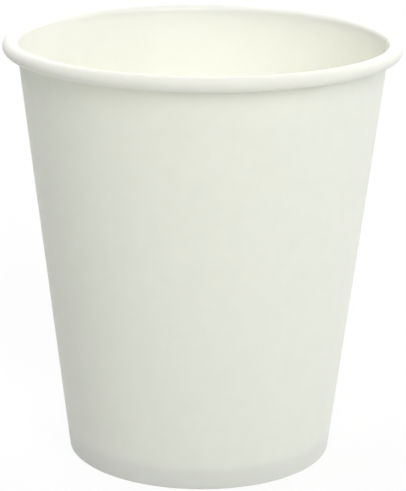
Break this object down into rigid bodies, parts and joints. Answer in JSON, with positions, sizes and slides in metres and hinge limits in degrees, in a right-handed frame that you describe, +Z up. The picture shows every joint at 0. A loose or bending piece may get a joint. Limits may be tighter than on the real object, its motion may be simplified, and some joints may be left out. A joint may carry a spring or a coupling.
{
  "type": "paper cold cup",
  "caption": "Tapered paperboard drinking cup with an outward-rolled rim, a lapped side seam and a recessed bottom disc held in a folded foot.",
  "frame": {"origin": "middle of the foot circle, on the surface that the cup stands on", "axes": "+Z up along the cup's axis to the mouth; the side seam is near +X, turned a little towards +Y"},
  "size_m": [0.09, 0.09, 0.097],
  "materials": {
    "side_paperboard": "smooth white paperboard, matt outside, lined inside",
    "base_paperboard": "smooth white paperboard, lined on its upper face"
  },
  "bodies": {
    "root": {"sidewall": "side_paperboard", "bottom_disc": "base_paperboard"}
  },
  "joints": []
}
